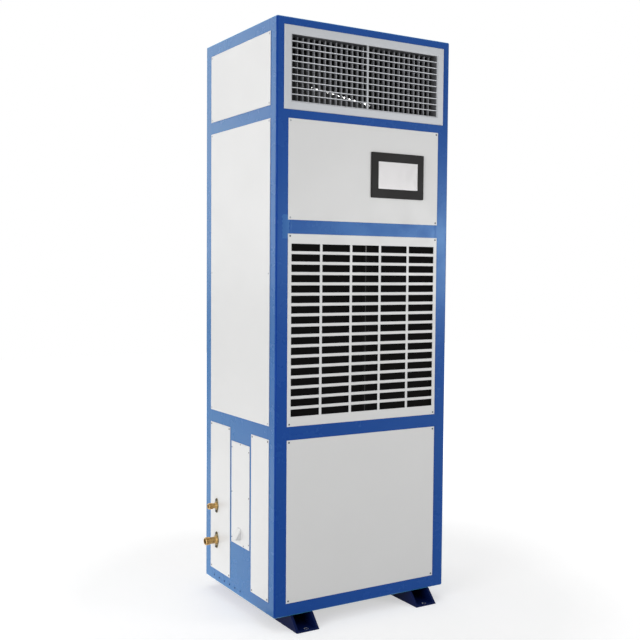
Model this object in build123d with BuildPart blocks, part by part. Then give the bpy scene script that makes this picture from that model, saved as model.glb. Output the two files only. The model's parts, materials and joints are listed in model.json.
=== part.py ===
"""Floor-standing precision air conditioner for a small data room.

A blue welded tube frame stands on two steel channel feet. White sheet panels lap
over the tubes. The front has a double-deflection supply grille at the top, a
panel with a touch screen, a slotted return panel with two filters behind it, and
a plain lower panel. The left side carries the water fittings and a cable hood.

The origin is on the floor, in the centre of the four floor-bolt holes.
The front looks along -Y, +X is to its right, and +Z is up.
"""

import math
import os

from build123d import *

# Welded frame, in millimetres
cabinet_width = 650.0
cabinet_depth = 504.0
cabinet_height = 1823.0
post_size = 50.0
tube_wall = 2.0
edge_radius = 5.0
post_cap = 3.0
post_vent_radius = 5.0
rail_depth = 40.0
rail_height = 60.0
bottom_rail_height = 50.0
top_rail_height = 49.0

# Openings in the front of the frame, from the top down; the lowest takes the rest
grille_opening_height = 200.0
control_opening_height = 286.0
return_opening_height = 570.0

# Sheet panels, which lap over the edges of the tubes
panel_sheet = 1.5
panel_lap = 9.0
front_panel_right_lap = 5.5
side_panel_front_lap = 13.0
side_panel_rear_lap = 6.0
top_panel_bottom_lap = 11.5
floor_sheet = 2.0

# Supply grille
grille_flange = 25.0
flange_thickness = 3.0
flange_bevel = 1.5
lip_width = 4.5
lip_depth = 2.0
neck_clearance = 0.5
neck_wall = 1.0
centre_bar_width = 5.0
centre_bar_depth = 7.5
blade_thickness = 2.2
blade_nose = 1.0
blade_shoulder = 0.8
blade_tail = 1.0
blade_depth = 14.0
front_blade_setback = 2.5
blade_row_gap = 11.0
front_blades = 9
rear_blades = 27
rear_blade_margin = 13.5

# Air box behind the grille
plenum_sheet = 1.2
plenum_depth = 300.0
plenum_rim = 8.0

# Touch screen, level with the middle of its panel
screen_from_right = 207.5
bezel_width = 205.0
bezel_height = 144.0
bezel_thickness = 6.0
bezel_radius = 3.0
bezel_bevel = 1.5
glass_width = 154.0
glass_height = 86.0
glass_thickness = 1.5
glass_setback = 0.5
housing_width = 191.0
housing_height = 137.0
housing_depth = 35.0
cutout_clearance = 0.5

# Return panel and its filters
slot_columns = 5
slot_rows = 17
slot_side_margin = 12.0
slot_end_margin = 30.0
slot_bar_width = 8.2
slot_bar_height = 9.2
filter_thickness = 20.0
filter_clearance = 0.5
filter_border = 12.0
filter_recess = 1.5

# Service plates on the lower left side
front_strip_width = 118.0
rear_strip_width = 151.5
strip_gap = 11.5
centre_strip_rise = 128.0
centre_strip_drop = 42.0

# Cable hood on the centre strip
hood_offset = 6.0
hood_rise = 22.0
hood_width = 26.0
hood_height = 35.0
hood_reach = 20.7
hood_sheet = 1.2
cable_hole_radius = 9.0
cable_hole_rise = 11.5

# Water fittings, with male pipe threads
fitting_from_rear = 94.0
upper_fitting_height = 264.0
lower_fitting_height = 145.5
upper_thread = 20.955
lower_thread = 26.441
upper_fitting_reach = 33.0
lower_fitting_reach = 44.5
upper_ear_spacing = 38.0
lower_ear_spacing = 45.0
thread_length = 15.0
thread_lead = 1.0
thread_relief = 1.8
fitting_wall = 2.5
fitting_flange = 3.0
fitting_flange_rim = 4.5
fitting_boss = 9.0
ear_radius = 6.0
ear_hole_radius = 2.4
fitting_tail = 30.0
fitting_hole_clearance = 0.5

# Channel feet
foot_height = 43.0
foot_width = 80.0
foot_web = 5.0
foot_flange = 8.0
foot_root_radius = 6.0
foot_overhang = 41.0
foot_inset = 98.0
floor_bolt_radius = 6.0
floor_bolt_from_tip = 13.0

# Places worked out from the sizes above
opening_width = cabinet_width - 2 * post_size
opening_depth = cabinet_depth - 2 * post_size
frame_bottom = foot_height
frame_top = frame_bottom + cabinet_height
front_y = -cabinet_depth / 2
left_x = -cabinet_width / 2

bottom_rail_top = frame_bottom + bottom_rail_height
top_rail_bottom = frame_top - top_rail_height
upper_rail_top = top_rail_bottom - grille_opening_height
upper_rail_bottom = upper_rail_top - rail_height
control_rail_top = upper_rail_bottom - control_opening_height
control_rail_bottom = control_rail_top - rail_height
lower_rail_top = control_rail_bottom - return_opening_height
lower_rail_bottom = lower_rail_top - rail_height

rear_width = opening_width + 2 * panel_lap
front_width = opening_width + panel_lap + front_panel_right_lap
front_middle_x = (front_panel_right_lap - panel_lap) / 2
side_width = opening_depth + side_panel_front_lap + side_panel_rear_lap
side_middle_y = (side_panel_rear_lap - side_panel_front_lap) / 2

os.makedirs("parts", exist_ok=True)


def save(part, label):
    """Name a finished piece and write it to its own file."""
    part.label = label
    export_step(part, f"parts/{label}.step")


def front_plane(x=0.0, z=0.0, y=front_y):
    """A plane on the front face, looking out of the cabinet."""
    return Plane(origin=(x, y, z), x_dir=(1, 0, 0), z_dir=(0, -1, 0))


def rear_plane(x=0.0, z=0.0):
    """A plane on the rear face, looking out of the cabinet."""
    return Plane(origin=(x, -front_y, z), x_dir=(-1, 0, 0), z_dir=(0, 1, 0))


def left_plane(y=0.0, z=0.0, x=left_x):
    """A plane on the left face, looking out, with its x axis to the front."""
    return Plane(origin=(x, y, z), x_dir=(0, -1, 0), z_dir=(-1, 0, 0))


def right_plane(y=0.0, z=0.0):
    """A plane on the right face, looking out, with its x axis to the rear."""
    return Plane(origin=(-left_x, y, z), x_dir=(0, 1, 0), z_dir=(1, 0, 0))


def make_post(side_x, side_y, label):
    """A corner post: a capped square tube whose outer edges are ground round."""
    middle = (side_x * (cabinet_width - post_size) / 2, side_y * (cabinet_depth - post_size) / 2)
    outer_x = side_x * cabinet_width / 2
    outer_y = side_y * cabinet_depth / 2
    with BuildPart() as post:
        with BuildSketch(Plane.XY.offset(frame_bottom)):
            with Locations(middle):
                Rectangle(post_size, post_size)
        extrude(amount=cabinet_height)
        front_or_rear = post.faces().filter_by(Axis.Y).sort_by(Axis.Y, reverse=side_y < 0)[-1]
        left_or_right = post.faces().filter_by(Axis.X).sort_by(Axis.X, reverse=side_x < 0)[-1]
        ends = [edge for edge in front_or_rear.edges() + left_or_right.edges() if edge.length <= post_size]
        corner = front_or_rear.edges().filter_by(Axis.Z).sort_by(Axis.X, reverse=side_x < 0)[-1]
        fillet(ends + [corner], radius=edge_radius)
        with BuildSketch(Plane.XY.offset(frame_bottom + post_cap)) as bore:
            with Locations(middle):
                Rectangle(post_size - 2 * tube_wall, post_size - 2 * tube_wall)
            outer_corner = bore.vertices().sort_by_distance((outer_x, outer_y, frame_bottom + post_cap))[0]
            fillet(outer_corner, radius=edge_radius - tube_wall)
        extrude(amount=cabinet_height - 2 * post_cap, mode=Mode.SUBTRACT)
        with BuildSketch(Plane.XY.offset(frame_bottom)):
            with Locations(middle):
                Circle(post_vent_radius)
        extrude(amount=post_cap, mode=Mode.SUBTRACT)
    save(post.part, label)


def make_rail_ring(bottom, height, label, sides=True, rear=True, round_top=False, round_bottom=False):
    """Tubes between the posts at one height, flush with the outer faces.

    The outer edge at the top or the bottom of the cabinet is round, as the posts' ends are.
    """
    middle = bottom + height / 2
    runs = [(Plane.YZ, cabinet_depth, opening_width, side) for side in ((-1, 1) if rear else (-1,))]
    if sides:
        runs += [(Plane.XZ, cabinet_width, opening_depth, side) for side in (-1, 1)]
    with BuildPart() as ring:
        for plane, across, length, side in runs:
            with BuildSketch(plane) as section:
                with Locations((side * (across - rail_depth) / 2, middle)):
                    Rectangle(rail_depth, height)
                    outer = section.vertices().group_by(Axis.X, reverse=side < 0)[-1].sort_by(Axis.Y)
                    if round_bottom:
                        fillet(outer[0], radius=edge_radius)
                    if round_top:
                        fillet(outer[-1], radius=edge_radius)
                    Rectangle(rail_depth - 2 * tube_wall, height - 2 * tube_wall, mode=Mode.SUBTRACT)
            extrude(amount=length / 2, both=True)
    save(ring.part, label)


def make_panel(plane_on_face, middle, width, bottom, top, label):
    """A flat sheet panel on the outside of the frame, round its middle and between two heights."""
    with BuildPart() as panel:
        with BuildSketch(plane_on_face(middle, (bottom + top) / 2)):
            Rectangle(width, top - bottom)
        extrude(amount=panel_sheet)
    save(panel.part, label)


# The frame
make_post(-1, -1, "front_left_post")
make_post(1, -1, "front_right_post")
make_post(-1, 1, "rear_left_post")
make_post(1, 1, "rear_right_post")
make_rail_ring(frame_bottom, bottom_rail_height, "bottom_rails", round_bottom=True)
make_rail_ring(lower_rail_bottom, rail_height, "lower_rails")
make_rail_ring(control_rail_bottom, rail_height, "control_rail", sides=False, rear=False)
make_rail_ring(upper_rail_bottom, rail_height, "upper_rails")
make_rail_ring(top_rail_bottom, top_rail_height, "top_rails", round_top=True)


# The floor pan lies between the bottom rails and is notched round the posts
with BuildPart() as floor_pan:
    with BuildSketch(Plane.XY.offset(frame_bottom)):
        Rectangle(cabinet_width - 2 * rail_depth, cabinet_depth - 2 * rail_depth)
        with GridLocations(cabinet_width - post_size, cabinet_depth - post_size, 2, 2):
            Rectangle(post_size, post_size, mode=Mode.SUBTRACT)
    extrude(amount=floor_sheet)
save(floor_pan.part, "floor_pan")

with BuildPart() as roof_panel:
    with BuildSketch(Plane.XY.offset(frame_top)):
        Rectangle(rear_width, opening_depth + 2 * panel_lap)
    extrude(amount=panel_sheet)
save(roof_panel.part, "roof_panel")


# Plain panels: each covers one field of the frame and laps its tubes
lower_field = (bottom_rail_top - panel_lap, lower_rail_bottom + panel_lap)
middle_field = (lower_rail_top - panel_lap, upper_rail_bottom + panel_lap)
top_field = (upper_rail_top - top_panel_bottom_lap, top_rail_bottom + panel_lap)
return_field = (lower_rail_top - panel_lap, control_rail_bottom + panel_lap)
control_field = (control_rail_top - panel_lap, upper_rail_bottom + panel_lap)

make_panel(front_plane, front_middle_x, front_width, *lower_field, "lower_front_panel")
make_panel(rear_plane, 0, rear_width, *lower_field, "lower_rear_panel")
make_panel(rear_plane, 0, rear_width, *middle_field, "middle_rear_panel")
make_panel(rear_plane, 0, rear_width, *top_field, "top_rear_panel")
make_panel(left_plane, side_middle_y, side_width, *middle_field, "middle_left_panel")
make_panel(left_plane, side_middle_y, side_width, *top_field, "top_left_panel")
make_panel(right_plane, side_middle_y, side_width, *lower_field, "lower_right_panel")
make_panel(right_plane, side_middle_y, side_width, *middle_field, "middle_right_panel")
make_panel(right_plane, side_middle_y, side_width, *top_field, "top_right_panel")


# Control panel with the cut-out for the touch screen
control_middle = sum(control_field) / 2
screen_x = cabinet_width / 2 - screen_from_right
cutout_width = housing_width + 2 * cutout_clearance
cutout_height = housing_height + 2 * cutout_clearance
with BuildPart() as control_panel:
    with BuildSketch(front_plane(z=control_middle)):
        with Locations((front_middle_x, 0)):
            Rectangle(front_width, control_field[1] - control_field[0])
        with Locations((screen_x, 0)):
            Rectangle(cutout_width, cutout_height, mode=Mode.SUBTRACT)
    extrude(amount=panel_sheet)
save(control_panel.part, "control_panel")

panel_front_y = front_y - panel_sheet
with BuildPart() as touch_screen_housing:
    with BuildSketch(front_plane(screen_x, control_middle, panel_front_y)):
        RectangleRounded(bezel_width, bezel_height, bezel_radius)
    extrude(amount=bezel_thickness)
    chamfer(touch_screen_housing.faces().sort_by(Axis.Y)[0].edges(), length=bezel_bevel)
    with BuildSketch(front_plane(screen_x, control_middle, panel_front_y)):
        Rectangle(housing_width, housing_height)
    extrude(amount=-housing_depth)
    with BuildSketch(front_plane(screen_x, control_middle, panel_front_y - bezel_thickness)):
        Rectangle(glass_width, glass_height)
    extrude(amount=-(glass_thickness + glass_setback), mode=Mode.SUBTRACT)
save(touch_screen_housing.part, "touch_screen_housing")

glass_back_y = panel_front_y - bezel_thickness + glass_setback + glass_thickness
with BuildPart() as touch_screen_glass:
    with BuildSketch(front_plane(screen_x, control_middle, glass_back_y)):
        Rectangle(glass_width, glass_height)
    extrude(amount=glass_thickness)
save(touch_screen_glass.part, "touch_screen_glass")


# Return panel: rows of horizontal slots, with two framed filters behind
return_middle = sum(return_field) / 2
return_height = return_field[1] - return_field[0]
slot_pitch_x = (front_width - 2 * slot_side_margin + slot_bar_width) / slot_columns
slot_pitch_z = (return_height - 2 * slot_end_margin + slot_bar_height) / slot_rows
with BuildPart() as return_panel:
    with BuildSketch(front_plane(front_middle_x, return_middle)):
        Rectangle(front_width, return_height)
        with GridLocations(slot_pitch_x, slot_pitch_z, slot_columns, slot_rows):
            Rectangle(slot_pitch_x - slot_bar_width, slot_pitch_z - slot_bar_height, mode=Mode.SUBTRACT)
    extrude(amount=panel_sheet)
save(return_panel.part, "return_panel")

filter_width = opening_width / 2 - filter_clearance
filter_height = control_rail_bottom - lower_rail_top - 2 * filter_clearance
filter_middle = (control_rail_bottom + lower_rail_top) / 2
filter_field_height = (filter_height - 3 * filter_border) / 2
for side, label in ((-1, "left_filter"), (1, "right_filter")):
    with BuildPart() as air_filter:
        with BuildSketch(front_plane(side * opening_width / 4, filter_middle)):
            Rectangle(filter_width, filter_height)
        extrude(amount=-filter_thickness)
        with BuildSketch(front_plane(side * opening_width / 4, filter_middle)):
            with GridLocations(0, filter_field_height + filter_border, 1, 2):
                Rectangle(filter_width - 2 * filter_border, filter_field_height)
        extrude(amount=-filter_recess, mode=Mode.SUBTRACT)
    save(air_filter.part, label)


# Supply grille: a flanged neck with two crossed rows of tapered blades
grille_middle = (upper_rail_top + top_rail_bottom) / 2
neck_width = opening_width - 2 * neck_clearance
neck_height = grille_opening_height - 2 * neck_clearance
vent_width = neck_width - 2 * neck_wall
vent_height = neck_height - 2 * neck_wall
with BuildPart() as grille_frame:
    with BuildSketch(front_plane(z=grille_middle)):
        Rectangle(opening_width + 2 * grille_flange, grille_opening_height + 2 * grille_flange)
    extrude(amount=flange_thickness)
    chamfer(grille_frame.faces().sort_by(Axis.Y)[0].edges(), length=flange_bevel)
    with BuildSketch(front_plane(z=grille_middle)):
        Rectangle(neck_width, neck_height)
    extrude(amount=-rail_depth)
    with BuildSketch(front_plane(z=grille_middle, y=front_y - flange_thickness)):
        Rectangle(vent_width, vent_height)
    extrude(amount=-(flange_thickness + rail_depth), mode=Mode.SUBTRACT)
    with BuildSketch(front_plane(z=grille_middle, y=front_y - flange_thickness)):
        Rectangle(vent_width + 2 * lip_width, vent_height + 2 * lip_width)
    with BuildSketch(front_plane(z=grille_middle, y=front_y - flange_thickness + lip_depth)):
        Rectangle(vent_width, vent_height)
    loft(mode=Mode.SUBTRACT)
save(grille_frame.part, "supply_grille_frame")


def blade_section(plane):
    """A blade's section on a plane: a bevelled nose at its origin and a thinner tail."""
    with BuildSketch(plane) as section:
        with BuildLine():
            Polyline(
                (0, 0),
                (0, blade_nose / 2),
                (blade_shoulder, blade_thickness / 2),
                (blade_depth, blade_tail / 2),
                (blade_depth, 0),
            )
            mirror(about=Plane.XZ)
        make_face()
    return section.sketch


front_row_y = front_y - flange_thickness + front_blade_setback
rear_row_y = front_row_y + blade_depth + blade_row_gap
front_pitch = vent_height / (front_blades + 1)
rear_pitch = (vent_width - 2 * rear_blade_margin) / (rear_blades - 1)

with BuildPart() as centre_bar:
    with BuildSketch(front_plane(z=grille_middle, y=front_row_y)):
        Rectangle(centre_bar_width, vent_height)
    extrude(amount=-centre_bar_depth)
save(centre_bar.part, "grille_centre_bar")

# The front blades run right across and are notched for the centre bar
with BuildPart() as front_blade_row:
    for row in range(front_blades):
        blade_z = grille_middle + (row - (front_blades - 1) / 2) * front_pitch
        blade_plane = Plane((0, front_row_y, blade_z), x_dir=(0, 1, 0), z_dir=(1, 0, 0))
        extrude(blade_section(blade_plane), amount=vent_width / 2, both=True)
    with BuildSketch(front_plane(z=grille_middle, y=front_row_y)):
        Rectangle(centre_bar_width, vent_height)
    extrude(amount=-centre_bar_depth, mode=Mode.SUBTRACT)
save(front_blade_row.part, "grille_front_blades")

with BuildPart() as rear_blade_row:
    for column in range(rear_blades):
        blade_x = (column - (rear_blades - 1) / 2) * rear_pitch
        blade_plane = Plane((blade_x, rear_row_y, grille_middle), x_dir=(0, 1, 0), z_dir=(0, 0, 1))
        extrude(blade_section(blade_plane), amount=vent_height / 2, both=True)
save(rear_blade_row.part, "grille_rear_blades")

# The air box closes the space behind the grille: its rim lies on the rails
plenum_height = grille_opening_height + 2 * plenum_rim
plenum_width = opening_width - 2 * neck_clearance
with BuildPart() as plenum:
    with BuildSketch(front_plane(z=grille_middle, y=front_y + rail_depth)):
        Rectangle(plenum_width, plenum_height)
    extrude(amount=-plenum_depth)
    with BuildSketch(front_plane(z=grille_middle, y=front_y + rail_depth)):
        Rectangle(plenum_width - 2 * plenum_sheet, plenum_height - 2 * plenum_sheet)
    extrude(amount=-(plenum_depth - plenum_sheet), mode=Mode.SUBTRACT)
save(plenum.part, "supply_plenum")


# Lower left side: a blue backing plate, flush with the frame, and three strips
plate_height = lower_rail_bottom - bottom_rail_top
plate_middle = (lower_rail_bottom + bottom_rail_top) / 2
lower_field_height = lower_field[1] - lower_field[0]
side_front_y = front_y + post_size - side_panel_front_lap
front_strip_y = side_front_y + front_strip_width / 2
rear_strip_y = side_front_y + side_width - rear_strip_width / 2
centre_strip_width = side_width - front_strip_width - rear_strip_width - 2 * strip_gap
centre_strip_y = side_front_y + front_strip_width + strip_gap + centre_strip_width / 2
centre_strip_bottom = lower_field[0] + centre_strip_rise
centre_strip_top = lower_field[1] - centre_strip_drop
hood_y = centre_strip_y + hood_offset
hood_bottom = centre_strip_bottom + hood_rise
fitting_y = cabinet_depth / 2 - fitting_from_rear
strip_face_x = left_x - panel_sheet
waist_radii = [thread / 2 - thread_relief for thread in (upper_thread, lower_thread)]
fitting_heights = [frame_bottom + height for height in (upper_fitting_height, lower_fitting_height)]


def cut_fitting_holes():
    """Cut the clearance holes for the two water fittings in the open part."""
    for z, waist_radius in zip(fitting_heights, waist_radii):
        with Locations(left_plane(fitting_y, z)):
            Hole(waist_radius + fitting_hole_clearance)


def cut_cable_hole():
    """Cut the hole for the supply cable in the open part."""
    with Locations(left_plane(hood_y, hood_bottom + cable_hole_rise)):
        Hole(cable_hole_radius)


with BuildPart() as backing_plate:
    with BuildSketch(left_plane(z=plate_middle)):
        Rectangle(opening_depth, plate_height)
    extrude(amount=-panel_sheet)
    cut_fitting_holes()
    cut_cable_hole()
save(backing_plate.part, "left_backing_plate")

with BuildPart() as front_strip:
    with BuildSketch(left_plane(front_strip_y, sum(lower_field) / 2)):
        Rectangle(front_strip_width, lower_field_height)
    extrude(amount=panel_sheet)
save(front_strip.part, "left_front_strip")

with BuildPart() as centre_strip:
    with BuildSketch(left_plane(centre_strip_y, (centre_strip_bottom + centre_strip_top) / 2)):
        Rectangle(centre_strip_width, centre_strip_top - centre_strip_bottom)
    extrude(amount=panel_sheet)
    cut_cable_hole()
save(centre_strip.part, "left_centre_strip")

with BuildPart() as rear_strip:
    with BuildSketch(left_plane(rear_strip_y, sum(lower_field) / 2)):
        Rectangle(rear_strip_width, lower_field_height)
    extrude(amount=panel_sheet)
    cut_fitting_holes()
save(rear_strip.part, "left_rear_strip")


# Cable hood: a folded sheet wedge over the cable hole, open at the bottom
hood_slope = math.hypot(hood_height, hood_reach)
inner_reach = hood_reach - hood_sheet * hood_slope / hood_height
inner_height = hood_height - hood_sheet * hood_slope / hood_reach
hood_plane = Plane((strip_face_x, hood_y, hood_bottom), x_dir=(-1, 0, 0), z_dir=(0, 1, 0))
with BuildPart() as cable_hood:
    with BuildSketch(hood_plane):
        with BuildLine():
            Polyline((0, 0), (hood_reach, 0), (0, hood_height), close=True)
        make_face()
    extrude(amount=hood_width / 2, both=True)
    with BuildSketch(hood_plane):
        with BuildLine():
            Polyline((0, 0), (inner_reach, 0), (0, inner_height), close=True)
        make_face()
    extrude(amount=hood_width / 2 - hood_sheet, both=True, mode=Mode.SUBTRACT)
save(cable_hood.part, "cable_hood")


def make_fitting(z, thread, waist_radius, reach, ear_spacing, label):
    """A brass wall fitting: an oval flange, a waist and a male pipe thread."""
    thread_radius = thread / 2
    bore_radius = waist_radius - fitting_wall
    with BuildPart() as fitting:
        with BuildSketch(left_plane(fitting_y, z, strip_face_x)):
            Circle(waist_radius + fitting_flange_rim)
            with GridLocations(0, ear_spacing, 1, 2):
                Circle(ear_radius)
            make_hull()
            with GridLocations(0, ear_spacing, 1, 2):
                Circle(ear_hole_radius, mode=Mode.SUBTRACT)
        extrude(amount=fitting_flange)
        with BuildSketch(Plane((strip_face_x, fitting_y, z), x_dir=(-1, 0, 0), z_dir=(0, 1, 0))):
            with BuildLine():
                Polyline(
                    (-fitting_tail, bore_radius),
                    (-fitting_tail, waist_radius),
                    (fitting_flange, waist_radius),
                    (fitting_flange, waist_radius + fitting_wall),
                    (fitting_boss, waist_radius),
                    (reach - thread_length, waist_radius),
                    (reach - thread_length, thread_radius),
                    (reach - thread_lead, thread_radius),
                    (reach, thread_radius - thread_lead),
                    (reach, bore_radius),
                    close=True,
                )
            make_face()
        revolve(axis=Axis((0, fitting_y, z), (1, 0, 0)))
        with Locations(left_plane(fitting_y, z, strip_face_x)):
            Hole(bore_radius)
    save(fitting.part, label)


make_fitting(
    fitting_heights[0],
    upper_thread,
    waist_radii[0],
    upper_fitting_reach,
    upper_ear_spacing,
    "upper_water_fitting",
)
make_fitting(
    fitting_heights[1],
    lower_thread,
    waist_radii[1],
    lower_fitting_reach,
    lower_ear_spacing,
    "lower_water_fitting",
)


# Channel feet: rolled channels on their webs, with the ends cut at a slant
foot_length = cabinet_depth + 2 * foot_overhang
for side, label in ((-1, "left_foot"), (1, "right_foot")):
    foot_x = side * (cabinet_width / 2 - foot_inset)
    with BuildPart() as foot:
        with BuildSketch(Plane.XZ) as foot_section:
            with Locations((foot_x, foot_height / 2)):
                Rectangle(foot_width, foot_height)
            with Locations((foot_x, foot_web)):
                Rectangle(
                    foot_width - 2 * foot_flange,
                    foot_height,
                    align=(Align.CENTER, Align.MIN),
                    mode=Mode.SUBTRACT,
                )
            roots = foot_section.vertices().filter_by_position(Axis.Y, foot_web - 1, foot_web + 1)
            fillet(roots, radius=foot_root_radius)
        extrude(amount=foot_length / 2, both=True)
        for end in (-1, 1):
            tip = end * foot_length / 2
            with BuildSketch(Plane.YZ.offset(foot_x)):
                with BuildLine():
                    Polyline(
                        (tip, 0),
                        (tip - end * foot_overhang, foot_height),
                        (tip, foot_height),
                        close=True,
                    )
                make_face()
            extrude(amount=foot_width / 2, both=True, mode=Mode.SUBTRACT)
        hole_spacing = foot_length - 2 * floor_bolt_from_tip
        with Locations(Plane((foot_x, 0, foot_web))):
            with GridLocations(0, hole_spacing, 1, 2):
                Hole(floor_bolt_radius, depth=foot_web)
    save(foot.part, label)
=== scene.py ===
"""Looks for the floor-standing precision air conditioner.

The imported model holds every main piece. This script gives each one its finish and
adds what is too small for it: the screws, the ground weld seams and one wider ground
patch, the rims of the bolt holes, the threads of the water fittings, the seam between
the filters and the plate behind the supply grille.

Lengths are in metres. The front looks along -Y, +X is to its right and +Z is up.
"""

import json
import math

import bmesh
import bpy
from mathutils import Matrix, Quaternion, Vector


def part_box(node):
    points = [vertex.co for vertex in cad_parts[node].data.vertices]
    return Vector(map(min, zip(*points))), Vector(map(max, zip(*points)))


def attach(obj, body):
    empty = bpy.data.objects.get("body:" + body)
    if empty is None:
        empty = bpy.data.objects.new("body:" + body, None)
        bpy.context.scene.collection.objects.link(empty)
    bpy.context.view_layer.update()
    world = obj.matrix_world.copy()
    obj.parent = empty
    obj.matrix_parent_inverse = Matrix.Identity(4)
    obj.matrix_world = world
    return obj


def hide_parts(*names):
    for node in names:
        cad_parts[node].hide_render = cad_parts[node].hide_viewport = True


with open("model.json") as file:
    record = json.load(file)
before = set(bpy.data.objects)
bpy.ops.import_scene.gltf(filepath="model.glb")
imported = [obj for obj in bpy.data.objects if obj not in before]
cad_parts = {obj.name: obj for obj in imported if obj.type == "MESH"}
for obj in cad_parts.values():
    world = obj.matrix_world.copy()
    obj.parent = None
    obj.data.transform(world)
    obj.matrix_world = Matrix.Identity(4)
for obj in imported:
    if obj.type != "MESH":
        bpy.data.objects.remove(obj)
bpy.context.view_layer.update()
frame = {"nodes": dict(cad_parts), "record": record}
nodes = frame["nodes"]

# The photograph's camera
CAMERA_PLACE = (-1.6827, -2.7619, 1.1052)
CAMERA_YAW = 0.5428
CAMERA_PITCH = -0.0507
CAMERA_ROLL = 0.0074
CAMERA_LENS = 53.372
CAMERA_SENSOR = 36.0
CAMERA_CLIP = (0.05, 60.0)

# Light from the background, and the floor's own white near the object and far from it
WORLD_LEVEL = 0.32
FLOOR_HALF_SIZE = 9.0
FLOOR_NEAR_GLOW = 0.52
FLOOR_NEAR = 0.8
FLOOR_FAR = 2.4

# Soft lamps: name, place, target, width and height, watts, turn on the lamp's own axis
LAMPS = (
    ("key_left", (-4.2, -1.6, 1.3), (0.0, 0.0, 0.9), (2.6, 2.6), 102.0, 0.0),
    ("fill_front", (1.6, -4.4, 2.9), (0.0, 0.0, 1.0), (2.6, 2.6), 15.0, 0.0),
    ("front_right", (3.3, -4.5, 1.3), (0.0, 0.0, 1.2), (1.7, 0.8), 82.0, 0.0),
    ("rear_left", (-2.6, 4.4, 2.4), (0.0, 0.0, 1.1), (3.0, 3.0), 42.0, 0.0),
    ("floor_bounce", (-0.86, 1.08, 0.02), (-0.86, 1.08, 1.0), (1.2, 2.6), 5.5, -0.46),
    ("top", (0.0, 0.6, 4.4), (0.0, 0.0, 1.0), (2.4, 2.4), 40.0, 0.0),
)

# Panel screws
SCREW_RADIUS = 0.0028
SCREW_HEIGHT = 0.0010
SCREW_INSET = 0.0070

# Small screws of the middle strip, by shares of its height and width
STRIP_SCREW_RADIUS = 0.0020
STRIP_SCREW_INSET = 0.0042
STRIP_SHARES_UP = (0.05, 0.50, 0.94)
STRIP_BOTTOM_SHARE = 0.32
STRIP_TOP_SHARE = 0.50

# Screws of the floor pan, in a row on the left bottom rail
PAN_SCREW_COUNT = 6
PAN_SCREW_PITCH = 0.040
PAN_SCREW_FROM_REAR = 0.071
PAN_SCREW_RISE = 0.018

# Rims of the floor-bolt holes, on the channels' web
FOOT_LIP_TOP = 0.0050
HOLE_RIM_WIDTH = 0.0016
HOLE_RIM_HEIGHT = 0.00015
HOLE_RIM_SINK = 0.0002

# Ground weld seams between the posts and the rails. Each wave in their width is a share
# of the width, a rate along the seam and a start
SEAM_WIDTH = 0.0055
SEAM_HEIGHT = 0.00022
SEAM_SINK = 0.00002
SEAM_STEP = 0.004
SEAM_END_GAP = 0.002
SEAM_WAVES = ((0.16, 470, 0), (0.10, 1130, 1))
SEAM_SMOOTH_ANGLE = 80.0
GROUND_PATCH_SHIFT = 0.016
GROUND_PATCH_WIDTH = 0.026
GROUND_PATCH_HEIGHT = 0.072

# Turned bodies, flanges and screws of the water fittings
FITTING_WALL = 0.0025
FITTING_THREAD_LENGTH = 0.015
BOSS_REACH = 0.009
COLLAR_WIDTH = 0.0028
COLLAR_HEIGHT = 0.0012
FLANGE_THICKNESS = 0.003
FLANGE_MARGIN = 0.0045
FLANGE_BEVEL = 0.0006
FLANGE_ARC_STEPS = 14
EAR_RADIUS = 0.006
EAR_SCREW_RADIUS = 0.0040
EAR_SCREW_HEIGHT = 0.0026

# Pipe threads of the water fittings
THREAD_PITCH = 0.001814
THREAD_DEPTH = 0.00116
THREAD_RELIEF = 0.0018
THREAD_SINK = 0.0001
THREAD_STEPS_PER_TURN = 48
THREAD_FADE_STEPS = 20

# Seam between the filters, and the length at its top that is paler
FILTER_SEAM_HALF_WIDTH = 0.0009
FILTER_SEAM_PROUD = 0.0004
FILTER_SEAM_ROUNDING = 0.0003
FILTER_PALE_TOP_LENGTH = 0.047

# Depth of the grille's flange and of its front blades that keeps its full grey, before the painted shade
# behind their faces begins
GRILLE_UNSHADED_DEPTH = 0.0025

# Plate inside the duct. Its two ends are (x, height over the duct's floor)
DUCT_SHEET = 0.0010
PLATE_ENDS = ((-0.170, 0.067), (0.048, 0.033))
PLATE_SETBACK = 0.020
PLATE_THICKNESS = 0.0010

# Bright folded strip on the plate's top
LIP_HALF_THICK = 0.0009
LIP_HALF_TALL = 0.0021
LIP_CORNER = 0.0004
LIP_LEAN = math.radians(8.6)


# Node materials


def add_node(tree, kind, inputs=None, **settings):
    """A shader node with its settings and the values or links of its inputs."""
    node = tree.nodes.new(kind)
    for name, value in settings.items():
        setattr(node, name, value)
    for name, value in (inputs or {}).items():
        if isinstance(value, bpy.types.NodeSocket):
            tree.links.new(value, node.inputs[name])
        else:
            node.inputs[name].default_value = value
    return node


def opaque(colour):
    """An RGB triple with full alpha."""
    return (*colour, 1.0)


def place_socket(tree):
    """The surface's own coordinates, in metres, which move with the piece."""
    return add_node(tree, "ShaderNodeTexCoord").outputs["Object"]


def noise(tree, place, scale, detail=3.0, roughness=0.55, stretch=None):
    """Soft random spots with a number of spots to the metre."""
    if stretch:
        place = add_node(
            tree, "ShaderNodeMapping", {"Vector": place, "Scale": stretch}
        ).outputs["Vector"]
    inputs = {"Vector": place, "Scale": scale, "Detail": detail, "Roughness": roughness}
    return add_node(tree, "ShaderNodeTexNoise", inputs).outputs["Fac"]


def fit(tree, value, low, high, to_low, to_high):
    """A value taken from one range to another, and held inside it."""
    inputs = {"Value": value, "From Min": low, "From Max": high, "To Min": to_low, "To Max": to_high}
    return add_node(tree, "ShaderNodeMapRange", inputs).outputs["Result"]


def calculate(tree, operation, first, second):
    """One sum on two values."""
    return add_node(tree, "ShaderNodeMath", {0: first, 1: second}, operation=operation).outputs[0]


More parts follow.
